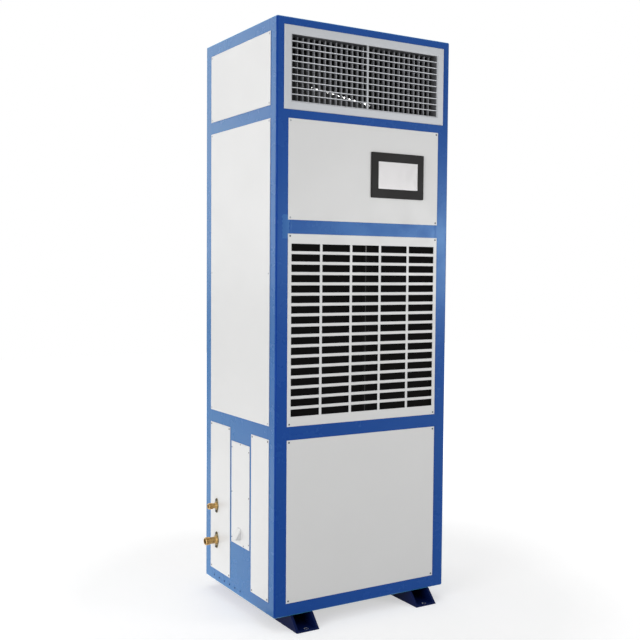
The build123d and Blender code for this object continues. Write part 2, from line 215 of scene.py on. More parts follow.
def blend_colour(tree, factor, first, second):
    """A mix of two colours, each a triple or a link."""
    node = add_node(tree, "ShaderNodeMix", data_type="RGBA")
    for index, value in ((0, factor), (6, first), (7, second)):
        if isinstance(value, bpy.types.NodeSocket):
            tree.links.new(value, node.inputs[index])
        else:
            node.inputs[index].default_value = opaque(value) if index else value
    return node.outputs[2]


def bump(tree, height, distance, normal=None):
    """A surface relief of a real depth."""
    inputs = {"Height": height, "Distance": distance, "Strength": 1.0}
    if normal is not None:
        inputs["Normal"] = normal
    return add_node(tree, "ShaderNodeBump", inputs).outputs["Normal"]


def rounded_edges(tree, radius):
    """A normal that softens the sharp edges, and a mask that is 1 on them."""
    soft = add_node(tree, "ShaderNodeBevel", {"Radius": radius}, samples=6).outputs["Normal"]
    flat = add_node(tree, "ShaderNodeNewGeometry").outputs["True Normal"]
    agreement = add_node(
        tree, "ShaderNodeVectorMath", {0: soft, 1: flat}, operation="DOT_PRODUCT"
    ).outputs["Value"]
    return soft, fit(tree, agreement, 0.97, 0.72, 0.0, 1.0)


def new_material(name, **sockets):
    """A material with one principled shader, and its tree."""
    material = bpy.data.materials.new(name)
    material.use_nodes = True
    tree = material.node_tree
    shader = tree.nodes["Principled BSDF"]
    for socket, value in sockets.items():
        shader.inputs[socket.replace("_", " ")].default_value = value
    return material, tree, shader


def wire(tree, shader, **links):
    """Link sockets to the shader by name."""
    for socket, value in links.items():
        tree.links.new(value, shader.inputs[socket.replace("_", " ")])


def powder_coat(name, colour, edge_highlight_colour, roughness, edge, cloud=0.05, **gloss):
    """Powder coat on steel sheet: orange peel, faint clouds, and thin lighter edges that are partly wear and
    partly a painted highlight.
    """
    material, tree, shader = new_material(name, **gloss)
    place = place_socket(tree)
    soft, on_edge = rounded_edges(tree, edge)
    clouds = noise(tree, place, 2.4, 4.0, 0.6)
    darker = tuple(channel * (1 - 2 * cloud) for channel in colour)
    base = blend_colour(tree, fit(tree, clouds, 0.3, 0.7, 0.0, 1.0), darker, colour)
    speck = fit(tree, noise(tree, place, 420.0, 2.0), 0.62, 0.80, 0.0, 0.35)
    base = blend_colour(tree, speck, base, tuple(channel * 0.9 for channel in colour))
    # Painted highlight and wear: the edges turn to the lighter edge colour, broken up by noise
    worn_and_highlit = fit(tree, noise(tree, place, 75.0, 3.0), 0.35, 0.62, 0.35, 1.0)
    base = blend_colour(tree, calculate(tree, "MULTIPLY", on_edge, worn_and_highlit), base, edge_highlight_colour)
    handled = noise(tree, place, 9.0, 5.0, 0.65)
    rough = fit(tree, handled, 0.25, 0.75, roughness - 0.07, roughness + 0.07)
    waves = noise(tree, place, 5.0, 1.0, 0.4)
    peel = noise(tree, place, 650.0, 2.0, 0.5)
    relief = bump(tree, waves, 0.00035, soft)
    relief = bump(tree, peel, 0.000012, relief)
    wire(tree, shader, Base_Color=base, Roughness=rough, Normal=relief)
    return material


def anodised_aluminium(name, face_y, painted_light_scale, dust=0.115, **gloss):
    """Satin anodised extrusions with faint draw lines, painted darker behind their faces as the shade inside
    the grille, in greys scaled lighter or darker as painted light and shade.
    """
    material, tree, shader = new_material(name, IOR=1.4, **gloss)
    place = place_socket(tree)
    depth = add_node(tree, "ShaderNodeSeparateXYZ", {"Vector": place}).outputs["Y"]
    # Painted shade: from just behind the face inwards the colour turns to the grey given as dust, which
    # stands for the shade inside the grille
    painted_depth_shade = fit(tree, depth, face_y + 0.0005, face_y + 0.0045, 0.0, 0.9)
    soft, on_edge = rounded_edges(tree, 0.0008)
    lines = noise(tree, place, 40.0, 4.0, 0.7, stretch=(1.0, 6.0, 30.0))
    patches = noise(tree, place, 6.0, 3.0)
    # Painted light and shade: the greys are scaled up or down, for lighter and darker copies of one
    # aluminium
    painted_greys = [tuple(min(1.0, painted_light_scale * channel) for channel in grey) for grey in GRILLE_GREYS]
    dull, clean, line, rubbed = painted_greys
    base = blend_colour(tree, fit(tree, patches, 0.3, 0.7, 0.0, 1.0), dull, clean)
    base = blend_colour(tree, fit(tree, lines, 0.45, 0.75, 0.0, 0.35), base, line)
    base = blend_colour(tree, calculate(tree, "MULTIPLY", on_edge, 0.6), base, rubbed)
    base = blend_colour(tree, painted_depth_shade, base, (dust, dust, 1.07 * dust))
    rough = fit(tree, patches, 0.2, 0.8, 0.40, 0.55)
    relief = bump(tree, lines, 0.00002, soft)
    wire(tree, shader, Base_Color=base, Roughness=rough, Normal=relief)
    return material


def moulded_plastic(name):
    """Black plastic with a fine eroded texture and slightly paler rubbed edges."""
    material, tree, shader = new_material(name, IOR=1.45, Specular_IOR_Level=0.15)
    place = place_socket(tree)
    soft, on_edge = rounded_edges(tree, 0.0012)
    grain = noise(tree, place, 1500.0, 2.0)
    smears = noise(tree, place, 18.0, 4.0, 0.6)
    smeared = fit(tree, smears, 0.3, 0.7, 0.0, 1.0)
    base = blend_colour(tree, smeared, (0.0085, 0.008, 0.008), (0.014, 0.013, 0.013))
    base = blend_colour(tree, calculate(tree, "MULTIPLY", on_edge, 0.5), base, (0.035, 0.034, 0.034))
    rough = fit(tree, smears, 0.25, 0.75, 0.42, 0.56)
    relief = bump(tree, grain, 0.00002, soft)
    wire(tree, shader, Base_Color=base, Roughness=rough, Normal=relief)
    return material


def pale_display(name):
    """A blank pale display under a smooth touch film with faint finger marks."""
    material, tree, shader = new_material(name, IOR=1.45, Coat_Weight=0.25, Coat_Roughness=0.04)
    place = place_socket(tree)
    uneven = fit(tree, noise(tree, place, 7.0, 1.0, 0.4, stretch=(1.0, 1.0, 0.6)), 0.35, 0.65, 0.0, 1.0)
    base = blend_colour(tree, uneven, (0.765, 0.750, 0.755), (0.825, 0.810, 0.815))
    marks = noise(tree, place, 55.0, 5.0, 0.7)
    rough = fit(tree, marks, 0.45, 0.75, 0.12, 0.24)
    relief = bump(tree, noise(tree, place, 30.0, 1.0), 0.00001)
    wire(tree, shader, Base_Color=base, Roughness=rough, Normal=relief)
    return material


def woven_mesh(name):
    """Black nylon filter mesh: two crossed sets of threads about a millimetre apart."""
    material, tree, shader = new_material(name, IOR=1.4, Specular_IOR_Level=0.06)
    place = place_socket(tree)
    threads = []
    for direction in ("X", "Z"):
        inputs = {"Vector": place, "Scale": 314.0, "Distortion": 0.4, "Detail": 1.0}
        wave = add_node(tree, "ShaderNodeTexWave", inputs, wave_type="BANDS", bands_direction=direction)
        threads.append(wave.outputs["Fac"])
    weave = calculate(tree, "MAXIMUM", *threads)
    dust = noise(tree, place, 14.0, 5.0, 0.65)
    raised = fit(tree, weave, 0.45, 0.95, 0.0, 1.0)
    base = blend_colour(tree, raised, (0.0008, 0.0008, 0.0008), (0.0045, 0.0042, 0.0040))
    base = blend_colour(tree, fit(tree, dust, 0.5, 0.8, 0.0, 0.5), base, (0.0085, 0.0080, 0.0072))
    rough = fit(tree, dust, 0.2, 0.8, 0.55, 0.8)
    relief = bump(tree, weave, 0.0004)
    wire(tree, shader, Base_Color=base, Roughness=rough, Normal=relief)
    return material


def galvanised_sheet(name):
    """Zinc-coated sheet with spangle, painted near black as the shade inside the duct."""
    material, tree, shader = new_material(name, Metallic=0.3, Specular_IOR_Level=0.2)
    place = place_socket(tree)
    inputs = {"Vector": place, "Scale": 70.0}
    spangle = add_node(tree, "ShaderNodeTexVoronoi", inputs, feature="F1").outputs["Color"]
    grey = add_node(tree, "ShaderNodeRGBToBW", {"Color": spangle}).outputs["Val"]
    pale = fit(tree, grey, 0.2, 0.8, 0.0, 1.0)
    # Painted shade: both greys are near black, for the dark inside of the duct
    base = blend_colour(tree, pale, (0.020, 0.020, 0.021), (0.034, 0.035, 0.037))
    rough = fit(tree, grey, 0.2, 0.8, 0.42, 0.60)
    relief = bump(tree, noise(tree, place, 240.0, 3.0), 0.00003)
    wire(tree, shader, Base_Color=base, Roughness=rough, Normal=relief)
    return material


def turned_brass(name, clean, stained):
    """Turned brass with tool marks, brown where it is stained."""
    material, tree, shader = new_material(name, Metallic=1.0)
    place = place_socket(tree)
    soft, on_edge = rounded_edges(tree, 0.0005)
    tarnish = noise(tree, place, 130.0, 5.0, 0.65)
    base = blend_colour(tree, fit(tree, tarnish, 0.35, 0.68, 0.0, 1.0), clean, stained)
    base = blend_colour(tree, calculate(tree, "MULTIPLY", on_edge, 0.5), base, (0.74, 0.54, 0.27))
    rough = fit(tree, tarnish, 0.3, 0.7, 0.28, 0.46)
    marks = noise(tree, place, 900.0, 1.0, 0.5, stretch=(8.0, 1.0, 1.0))
    relief = bump(tree, marks, 0.000015, soft)
    wire(tree, shader, Base_Color=base, Roughness=rough, Normal=relief)
    return material


def plated_steel(name, colour, roughness):
    """Plated or bare steel of small pieces, stained, and brighter where its edges are rubbed."""
    material, tree, shader = new_material(name, Metallic=0.85)
    place = place_socket(tree)
    soft, on_edge = rounded_edges(tree, 0.0003)
    stain = noise(tree, place, 500.0, 4.0, 0.6)
    darker = tuple(channel * 0.6 for channel in colour)
    base = blend_colour(tree, fit(tree, stain, 0.3, 0.7, 0.0, 1.0), darker, colour)
    brighter = tuple(channel * 2.2 for channel in colour)
    base = blend_colour(tree, calculate(tree, "MULTIPLY", on_edge, 0.5), base, brighter)
    rough = fit(tree, stain, 0.3, 0.7, roughness - 0.08, roughness + 0.08)
    relief = bump(tree, stain, 0.00001, soft)
    wire(tree, shader, Base_Color=base, Roughness=rough, Normal=relief)
    return material


# Finishes

BLUE = (0.001, 0.024, 0.270)
# The lighter edge colours here are partly wear and partly a painted highlight along the edges
BLUE_EDGE_HIGHLIGHT = (0.015, 0.070, 0.33)
BLUE_GLOSS = {
    "IOR": 1.7,
    "Specular_Tint": opaque((0.08, 0.20, 0.30)),
    "Sheen_Weight": 1.0,
    "Sheen_Roughness": 0.52,
    "Sheen_Tint": opaque((0.15, 0.68, 1.0)),
}
THIN_BLUE = (0.03, 0.10, 0.40)
SCREW_BLUE = (0.001, 0.012, 0.07)
# The feet's blue is painted much darker than the frame's, as the shade under the cabinet
FOOT_SHADED_BLUE = (0.0022, 0.0080, 0.056)
FOOT_EDGE_HIGHLIGHT = (0.02, 0.035, 0.11)
WHITE = (0.720, 0.720, 0.715)
WHITE_EDGE_HIGHLIGHT = (0.86, 0.88, 0.94)
SCREW_GREY = (0.42, 0.44, 0.48)
# Dull, clean, along the draw lines, and rubbed
GRILLE_GREYS = ((0.46, 0.475, 0.50), (0.51, 0.525, 0.55), (0.41, 0.42, 0.445), (0.70, 0.71, 0.73))


def front_of(node):
    """Where a node's front lies, along y."""
    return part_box(node)[0].y


flange_face = front_of("supply_grille_frame") + GRILLE_UNSHADED_DEPTH
blade_face = front_of("grille_front_blades") + GRILLE_UNSHADED_DEPTH

finishes = {
    "frame_blue": powder_coat("frame_blue", BLUE, BLUE_EDGE_HIGHLIGHT, 0.26, edge=0.0005, cloud=0.06, **BLUE_GLOSS),
    "panel_white": powder_coat("panel_white", WHITE, WHITE_EDGE_HIGHLIGHT, 0.36, edge=0.0020, cloud=0.012, IOR=1.4),
    "grille_aluminium": anodised_aluminium("grille_aluminium", flange_face, 0.94, Metallic=0.25),
    "screen_housing": moulded_plastic("screen_housing"),
    "screen_glass": pale_display("screen_glass"),
    "filter_mesh": woven_mesh("filter_mesh"),
    "galvanised_sheet": galvanised_sheet("galvanised_sheet"),
    "fitting_brass": turned_brass("fitting_brass", (0.60, 0.385, 0.145), (0.20, 0.12, 0.045)),
    # The feet's paint is darkened as painted shade under the cabinet
    "foot_paint": powder_coat(
        "foot_paint", FOOT_SHADED_BLUE, FOOT_EDGE_HIGHLIGHT, 0.45, edge=0.0015, cloud=0.1, Specular_IOR_Level=0.06
    ),
}
dull_brass = turned_brass("fitting_brass_dull", (0.26, 0.21, 0.10), (0.07, 0.05, 0.022))
screw_dark = plated_steel("screw_dark", (0.055, 0.060, 0.075), 0.40)
screw_pale = powder_coat("screw_pale", SCREW_GREY, WHITE, 0.40, edge=0.0004, IOR=1.4)
screw_blue = powder_coat("screw_blue", SCREW_BLUE, BLUE, 0.40, edge=0.0004, Specular_IOR_Level=0.1)

# Lighter and darker copies of the grille aluminium, as painted light and shade: the front blades painted
# brighter, the centre bar darker, and the rear blades with a paler grey for the painted shade behind their
# faces
own_finishes = {
    "grille_centre_bar": anodised_aluminium(
        "grille_centre_bar", front_of("grille_centre_bar"), 0.82, Metallic=0.25
    ),
    "grille_front_blades": anodised_aluminium("grille_front_blades", blade_face, 1.75),
    "grille_rear_blades": anodised_aluminium(
        "grille_rear_blades", front_of("grille_rear_blades"), 1.1, dust=0.32, Specular_IOR_Level=0.2
    ),
}

for subpart in frame["record"]["subparts"]:
    slots = nodes[subpart["node"]].data.materials
    slots.clear()
    slots.append(own_finishes.get(subpart["node"], finishes[subpart["material_slot"]]))


# Mesh helpers


def finish_mesh(mesh_data, name, material, smooth_angle=35.0):
    """Turn gathered geometry into a named piece that rides on the cabinet."""
    bmesh.ops.recalc_face_normals(mesh_data, faces=mesh_data.faces)
    mesh = bpy.data.meshes.new(name)
    mesh_data.to_mesh(mesh)
    mesh_data.free()
    mesh.shade_smooth()
    mesh.set_sharp_from_angle(angle=math.radians(smooth_angle))
    mesh.materials.append(material)
    piece = bpy.data.objects.new(name, mesh)
    bpy.context.scene.collection.objects.link(piece)
    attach(piece, "root")
    return piece


def facing(outward, place):
    """A matrix at a place whose local z looks outward and whose local y is up."""
    outward = Vector(outward)
    up = Vector((0, 1, 0)) if abs(outward.z) > 0.5 else Vector((0, 0, 1))
    across = up.cross(outward)
    turn = Matrix((across, up, outward)).transposed().to_4x4()
    return Matrix.Translation(place) @ turn


def add_points(mesh_data, matrix, points):
    """Vertices at local points."""
    return [mesh_data.verts.new(matrix @ Vector(point)) for point in points]


def join_rings(mesh_data, first, second):
    """Quads between two closed rings of as many points."""
    count = len(first)
    for index in range(count):
        after = (index + 1) % count
        mesh_data.faces.new((first[index], first[after], second[after], second[index]))


def around(radius, height, angles):
    """Points at angles on a circle, at a height."""
    return [(radius * math.cos(angle), radius * math.sin(angle), height) for angle in angles]


def add_lathe(mesh_data, matrix, profile, count):
    """A turned shape from (radius, height) pairs, closed from its last pair to its first."""
    angles = [2 * math.pi * index / count for index in range(count)]
    rings = [add_points(mesh_data, matrix, around(radius, height, angles)) for radius, height in profile]
    for index, ring in enumerate(rings):
        join_rings(mesh_data, ring, rings[(index + 1) % len(rings)])


def add_box(mesh_data, corners):
    """A solid with six sides, from its eight corners in the order of three nested loops."""
    verts = [mesh_data.verts.new(corner) for corner in corners]
    for face in ((0, 1, 3, 2), (4, 5, 7, 6), (0, 1, 5, 4), (2, 3, 7, 6), (0, 2, 6, 4), (1, 3, 7, 5)):
        mesh_data.faces.new([verts[index] for index in face])


def add_screw(mesh_data, matrix, radius, height, turn):
    """A low pan head with a cross recess, on a face at local height 0."""
    matrix = matrix @ Matrix.Rotation(turn, 4, "Z")
    arm, half_slot, depth = 0.56 * radius, 0.13 * radius, 0.6 * height
    quarter = [(arm, half_slot), (half_slot, half_slot), (half_slot, arm)]
    cross = []
    for step in range(4):
        cosine, sine = math.cos(step * math.pi / 2), math.sin(step * math.pi / 2)
        cross += [(x * cosine - y * sine, x * sine + y * cosine) for x, y in quarter]
    angles = [math.atan2(y, x) for x, y in cross]
    fine = []
    for index, angle in enumerate(angles):
        gap = (angles[(index + 1) % len(angles)] - angle) % (2 * math.pi)
        fine += [angle, angle + gap / 2]
    rings = []
    for share, lift in ((1.0, -0.1), (1.0, 0.35), (0.93, 0.62), (0.80, 0.84)):
        rings.append(add_points(mesh_data, matrix, around(share * radius, lift * height, fine)))
    for lower, upper in zip(rings, rings[1:]):
        join_rings(mesh_data, lower, upper)
    crown = add_points(mesh_data, matrix, around(0.64 * radius, height, angles))
    rim = add_points(mesh_data, matrix, [(x, y, height) for x, y in cross])
    recess = add_points(mesh_data, matrix, [(0.8 * x, 0.8 * y, height - depth) for x, y in cross])
    outer = rings[-1]
    for index in range(len(crown)):
        after = (index + 1) % len(crown)
        first, middle, last = outer[2 * index], outer[2 * index + 1], outer[(2 * index + 2) % len(outer)]
        mesh_data.faces.new((crown[index], crown[after], last, middle, first))
    join_rings(mesh_data, crown, rim)
    join_rings(mesh_data, rim, recess)
    mesh_data.faces.new(recess)


def mount_sizes(name):
    """The sizes of one of the record's mounts."""
    mounts = frame["record"]["mounts"]
    return next(mount for mount in mounts if mount["name"] == name)["dims"]


# Screws of the panels

FRONT, REAR, LEFT, RIGHT, TOP = (0, -1, 0), (0, 1, 0), (-1, 0, 0), (1, 0, 0), (0, 0, 1)


def face_spot(node, outward, across, up):
    """A point on a panel's outer face, measured from its low edges, or from its high ones if negative."""
    low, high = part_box(node)
    spot = Vector()
    wide = 1 if outward[0] else 0
    tall = 1 if outward[2] else 2
    thick = 3 - wide - tall
    spot[wide] = low[wide] + across if across >= 0 else high[wide] + across
    spot[tall] = low[tall] + up if up >= 0 else high[tall] + up
    spot[thick] = high[thick] if sum(outward) > 0 else low[thick]
    return spot


def screw_panel(node, outward, middles=0, left=screw_dark, right=screw_dark):
    """Screws at a panel's corners and between them, with a finish for each of its two upright edges.

    The left edge is the one at the lower x or y. No two screws in an edge stop at the same turn.
    """
    low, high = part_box(node)
    size = high - low
    tall = size[1] if outward[2] else size[2]
    for side, across, material in (("left", SCREW_INSET, left), ("right", -SCREW_INSET, right)):
        mesh_data = bmesh.new()
        for row in range(middles + 2):
            up = SCREW_INSET + row * (tall - 2 * SCREW_INSET) / (middles + 1)
            spot = face_spot(node, outward, across, up)
            turn = 1.7 * row + 40 * across
            add_screw(mesh_data, facing(outward, spot), SCREW_RADIUS, SCREW_HEIGHT, turn)
        finish_mesh(mesh_data, f"{node}_screws_{side}", material)


for panel_name, panel_face in (
    ("lower_front_panel", FRONT),
    ("return_panel", FRONT),
    ("left_front_strip", LEFT),
    ("left_rear_strip", LEFT),
    ("lower_right_panel", RIGHT),
    ("top_right_panel", RIGHT),
    ("lower_rear_panel", REAR),
    ("top_rear_panel", REAR),
    ("roof_panel", TOP),
):
    screw_panel(panel_name, panel_face)

screw_panel("middle_right_panel", RIGHT, middles=1)
screw_panel("middle_rear_panel", REAR, middles=1)
screw_panel("control_panel", FRONT, left=screw_pale)
screw_panel("middle_left_panel", LEFT, middles=1, left=screw_pale, right=screw_pale)
screw_panel("top_left_panel", LEFT, left=screw_pale, right=screw_pale)


def screw_centre_strip():
    """Small screws round the middle strip: three up each side, one at each end."""
    node = "left_centre_strip"
    low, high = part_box(node)
    width, height = high.y - low.y, high.z - low.z
    spots = [
        (across, share * height)
        for across in (STRIP_SCREW_INSET, -STRIP_SCREW_INSET)
        for share in STRIP_SHARES_UP
    ]
    spots.append((STRIP_BOTTOM_SHARE * width, STRIP_SCREW_INSET))
    spots.append((STRIP_TOP_SHARE * width, -STRIP_SCREW_INSET))
    mesh_data = bmesh.new()
    for index, (across, up) in enumerate(spots):
        spot = face_spot(node, LEFT, across, up)
        add_screw(mesh_data, facing(LEFT, spot), STRIP_SCREW_RADIUS, SCREW_HEIGHT, 0.7 * index)
    finish_mesh(mesh_data, node + "_screws", screw_dark)


def screw_bottom_rail():
    """The painted screws that hold the floor pan, in a row on the left bottom rail."""
    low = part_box("bottom_rails")[0]
    first_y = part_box("rear_left_post")[1].y - PAN_SCREW_FROM_REAR
    mesh_data = bmesh.new()
    for index in range(PAN_SCREW_COUNT):
        spot = (low.x, first_y - index * PAN_SCREW_PITCH, low.z + PAN_SCREW_RISE)
        add_screw(mesh_data, facing(LEFT, spot), SCREW_RADIUS, SCREW_HEIGHT, 0.5 * index)
    finish_mesh(mesh_data, "bottom_rail_screws", screw_blue)


screw_centre_strip()
screw_bottom_rail()


def rim_floor_bolts():
    """Pale metal rims round the drilled holes in the two feet."""
    sizes = mount_sizes("floor_bolts")
    hole = sizes["hole_r_mm"] / 1000
    half_x, half_y = sizes["spacing_x_mm"] / 2000, sizes["spacing_y_mm"] / 2000
    outer = hole + HOLE_RIM_WIDTH
    middle = hole + HOLE_RIM_WIDTH / 2
    profile = [(hole, -HOLE_RIM_SINK), (outer, -HOLE_RIM_SINK), (outer, 0.0)]
    profile += [(middle, HOLE_RIM_HEIGHT), (hole, 0.0)]
    mesh_data = bmesh.new()
    for x in (-half_x, half_x):
        for y in (-half_y, half_y):
            add_lathe(mesh_data, Matrix.Translation((x, y, FOOT_LIP_TOP)), profile, 32)
    finish_mesh(mesh_data, "foot_hole_rims", plated_steel("hole_rim", (0.85, 0.87, 0.92), 0.35))


rim_floor_bolts()


# Weld seams


def add_seam(mesh_data, matrix, length, usual_width=SEAM_WIDTH):
    """A ground weld along local y: a shallow crowned strip of slightly uneven width."""
    shares = (-0.5, -0.3, 0.0, 0.3, 0.5)
    steps = max(4, round(length / SEAM_STEP))
    rows = []
    for step in range(steps + 1):
        along = -length / 2 + length * step / steps
        uneven = sum(size * math.sin(rate * along + start) for size, rate, start in SEAM_WAVES)
        width = usual_width * (1 + uneven)
        crown = [SEAM_HEIGHT * (1 - 4 * share * share) - SEAM_SINK for share in shares]
        points = [(share * width, along, height) for share, height in zip(shares, crown)]
        rows.append(add_points(mesh_data, matrix, points))
    for lower, upper in zip(rows, rows[1:]):
        for index in range(len(shares) - 1):
            mesh_data.faces.new((lower[index], lower[index + 1], upper[index + 1], upper[index]))


def weld_frame():
    """Seams where the rails meet the posts, on all four sides."""
    post_low, post_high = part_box("front_left_post")
    opening_x, opening_y = -post_high.x, -post_high.y
    outer_x, outer_y = -post_low.x, -post_low.y
    mesh_data = bmesh.new()
    for rails in ("bottom_rails", "lower_rails", "control_rail", "upper_rails", "top_rails"):
        low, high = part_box(rails)
        middle, length = (low.z + high.z) / 2, high.z - low.z - 2 * SEAM_END_GAP
        for side in (-1, 1):
            add_seam(mesh_data, facing(FRONT, (side * opening_x, -outer_y, middle)), length)
            if rails == "control_rail":
                continue
            add_seam(mesh_data, facing(REAR, (side * opening_x, outer_y, middle)), length)
            add_seam(mesh_data, facing(LEFT, (-outer_x, side * opening_y, middle)), length)
            add_seam(mesh_data, facing(RIGHT, (outer_x, side * opening_y, middle)), length)
    finish_mesh(mesh_data, "frame_weld_seams", finishes["frame_blue"], SEAM_SMOOTH_ANGLE)


def grind_left_post():
    """A patch of the left post, beside the control rail, that was ground wide and is coated thinly."""
    low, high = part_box("control_rail")
    spot = (low.x - GROUND_PATCH_SHIFT, front_of("front_left_post"), (low.z + high.z) / 2)
    thin_coat = powder_coat(
        "thin_coat", THIN_BLUE, BLUE_EDGE_HIGHLIGHT, 0.32, edge=0.0005, cloud=0.2, **BLUE_GLOSS
    )
    mesh_data = bmesh.new()
    add_seam(mesh_data, facing(FRONT, spot), GROUND_PATCH_HEIGHT, GROUND_PATCH_WIDTH)
    finish_mesh(mesh_data, "left_post_ground_patch", thin_coat, SEAM_SMOOTH_ANGLE)


weld_frame()
grind_left_post()


# Water fittings


def flange_outline(waist, ear_offset):
    """The oval flange: a round middle and two ears, joined by straight sides."""
    lean = math.asin((waist - EAR_RADIUS) / ear_offset)
    outline = []
    for step in range(FLANGE_ARC_STEPS + 1):
        angle = lean + (math.pi - 2 * lean) * step / FLANGE_ARC_STEPS
        outline.append((EAR_RADIUS * math.cos(angle), ear_offset + EAR_RADIUS * math.sin(angle)))
    for step in range(FLANGE_ARC_STEPS + 1):
        angle = math.pi - lean + 2 * lean * step / FLANGE_ARC_STEPS
        outline.append((waist * math.cos(angle), waist * math.sin(angle)))
    lower = [(-x, -y) for x, y in outline]
    return outline + lower


def add_flange(mesh_data, matrix, outline, bore):
    """A flat oval plate with a rounded front edge, round a bore."""
    thickness = FLANGE_THICKNESS
    levels = ((0.0, 0.0), (0.0, thickness - FLANGE_BEVEL), (-FLANGE_BEVEL, thickness))
    rings = []
    for grow, height in levels:
        points = []
        for x, y in outline:
            length = math.hypot(x, y)
            points.append((x * (1 + grow / length), y * (1 + grow / length), height))
        rings.append(add_points(mesh_data, matrix, points))
    for lower, upper in zip(rings, rings[1:]):
        join_rings(mesh_data, lower, upper)
    inner = []
    for height in (thickness, 0.0):
        points = [(bore * x / math.hypot(x, y), bore * y / math.hypot(x, y), height) for x, y in outline]
        inner.append(add_points(mesh_data, matrix, points))
    join_rings(mesh_data, rings[-1], inner[0])
    join_rings(mesh_data, inner[1], rings[0])


def add_thread(mesh_data, matrix, start, end, crest):
    """A helical pipe-thread ridge that fades out at both ends."""
    root = crest - THREAD_DEPTH
    count = int((end - start) / THREAD_PITCH * THREAD_STEPS_PER_TURN)
    rows = []
    for step in range(count + 1):
        angle = 2 * math.pi * step / THREAD_STEPS_PER_TURN
        fade = min(1.0, step / THREAD_FADE_STEPS, (count - step) / THREAD_FADE_STEPS)
        height = start + THREAD_PITCH * step / THREAD_STEPS_PER_TURN
        top, foot = root + THREAD_DEPTH * fade, root - THREAD_SINK
        section = ((-0.48, foot), (-0.10, top), (0.10, top), (0.48, foot))
        points = [
            (radius * math.cos(angle), radius * math.sin(angle), height + offset * THREAD_PITCH)
            for offset, radius in section
        ]
        rows.append(add_points(mesh_data, matrix, points))
    for lower, upper in zip(rows, rows[1:]):
        join_rings(mesh_data, lower, upper)
    mesh_data.faces.new(rows[0])
    mesh_data.faces.new(rows[-1])


def fitting_profile(crest, bore, tail, reach, thread_start):
    """The turned outline, from the tail in the cabinet to the chamfered mouth and back up the bore."""
    waist = crest - THREAD_RELIEF
    root = crest - THREAD_DEPTH
    barrel = [(bore, -tail), (waist, -tail), (waist, FLANGE_THICKNESS)]
    collar = [
        (waist + COLLAR_WIDTH, FLANGE_THICKNESS),
        (waist + COLLAR_WIDTH, FLANGE_THICKNESS + COLLAR_HEIGHT),
        (waist + 0.0016, BOSS_REACH - 0.002),
    ]
    neck = [
        (waist, BOSS_REACH),
        (waist - 0.0004, (BOSS_REACH + thread_start) / 2),
        (waist, thread_start - 0.0012),
    ]
    land = [
        (crest, thread_start - 0.0008),
        (crest, thread_start + 0.0003),
        (root, thread_start + 0.0010),
    ]
    mouth = [(root, reach - 0.0012), (root - 0.0008, reach), (bore + 0.0004, reach), (bore, reach - 0.0006)]
    return barrel + collar + neck + land + mouth


def make_fitting(node, mount_name):
    """A brass wall fitting with its thread, flange and two fixing screws."""
    low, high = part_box(node)
    crest = mount_sizes(mount_name)["r_mm"] / 1000
    face_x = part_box("left_rear_strip")[0].x
    matrix = facing(LEFT, (face_x, (low.y + high.y) / 2, (low.z + high.z) / 2))
    reach, tail = face_x - low.x, high.x - face_x
    waist = crest - THREAD_RELIEF
    bore = waist - FITTING_WALL
    thread_start = reach - FITTING_THREAD_LENGTH
    ear_offset = (high.z - low.z) / 2 - EAR_RADIUS
    mesh_data = bmesh.new()
    add_flange(mesh_data, matrix, flange_outline(waist + FLANGE_MARGIN, ear_offset), bore)
    for face in mesh_data.faces:
        face.material_index = 1
    add_lathe(mesh_data, matrix, fitting_profile(crest, bore, tail, reach, thread_start), 64)
    add_thread(mesh_data, matrix, thread_start + 0.0018, reach - 0.0016, crest)
    piece = finish_mesh(mesh_data, node + "_turned", finishes["fitting_brass"], 32.0)
    piece.data.materials.append(dull_brass)
    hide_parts(node)
    screws = bmesh.new()
    for side in (-1, 1):
        spot = matrix @ Matrix.Translation((0, side * ear_offset, FLANGE_THICKNESS))
        add_screw(screws, spot, EAR_SCREW_RADIUS, EAR_SCREW_HEIGHT, 0.4 * side)
    finish_mesh(screws, node + "_screws", screw_dark)


make_fitting("upper_water_fitting", "upper_water_connection")
make_fitting("lower_water_fitting", "lower_water_connection")


# Between the filters, and behind the supply grille


def make_filter_seam(name, bottom, top, material):
    """A length of the edges of the two filter frames, which show as one thin line."""
    front_y = front_of("left_filter")
    corners = [
        (x, y, z)
        for z in (bottom, top)
        for y in (front_y - FILTER_SEAM_PROUD, front_y)
        for x in (-FILTER_SEAM_HALF_WIDTH, FILTER_SEAM_HALF_WIDTH)
    ]
    mesh_data = bmesh.new()
    add_box(mesh_data, corners)
    edges = list(mesh_data.edges)
    bmesh.ops.bevel(mesh_data, geom=edges, offset=FILTER_SEAM_ROUNDING, segments=2, affect="EDGES")
    finish_mesh(mesh_data, name, material)


def seam_filters():
    """The seam is paler at its top end and darker below it."""
    low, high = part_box("left_filter")
    pale_top_from = high.z - FILTER_PALE_TOP_LENGTH
    # The paler grey for the top length, and the darker one below it
    bare = plated_steel("seam_pale_top", (0.17, 0.17, 0.165), 0.45)
    grey = plated_steel("seam_grey", (0.045, 0.045, 0.045), 0.5)
    make_filter_seam("filter_seam_top", pale_top_from, high.z, bare)
    make_filter_seam("filter_seam_edge", low.z, pale_top_from, grey)


